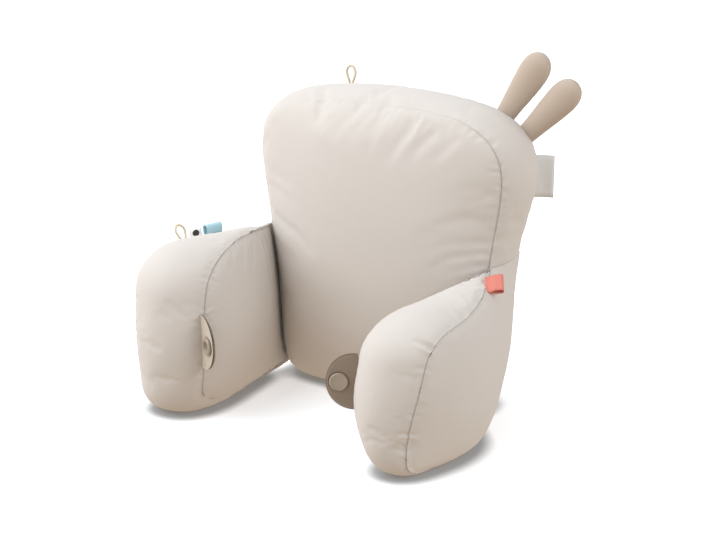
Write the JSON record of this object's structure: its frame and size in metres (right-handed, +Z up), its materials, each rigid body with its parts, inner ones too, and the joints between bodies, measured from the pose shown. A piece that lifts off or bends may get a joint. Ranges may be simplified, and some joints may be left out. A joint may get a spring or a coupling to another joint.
{
  "type": "stroller cushion",
  "caption": "Filled stroller support cushion: boxed back with two rounded arms sewn to its front seam, stuffed horns, cord and ribbon loops, bare label and snap tabs.",
  "frame": {"origin": "middle of the flat base under the back, midway between its front and rear seams", "axes": "+Z up, -Y the way the sitter faces, +X to the right of a viewer in front of the cushion"},
  "size_m": [0.383, 0.2587, 0.366],
  "materials": {
    "shell": "smooth sand-coloured cotton, matt with a soft sheen",
    "horn": "plain woven darker sand cloth",
    "tab": "plain woven darker sand cloth with a stitched edge",
    "cord": "cream braided cord",
    "blue_ribbon": "pale blue ribbed ribbon",
    "coral_ribbon": "coral ribbon, bare",
    "white_tape": "white woven tape, bare",
    "snap": "matt sand-coloured plastic"
  },
  "bodies": {
    "root": {"back": "shell", "arm_right": "shell", "arm_left": "shell", "horn_upper": "horn", "horn_lower": "horn", "top_cord_loop": "cord", "arm_cord_loop": "cord", "blue_ribbon_loop": "blue_ribbon", "coral_ribbon_loop": "coral_ribbon", "dot_tag": "white_tape", "side_label": "white_tape", "snap_tab_right": "tab", "snap_tab_left": "shell", "snap_cap": "snap", "snap_socket": "snap"}
  },
  "joints": []
}
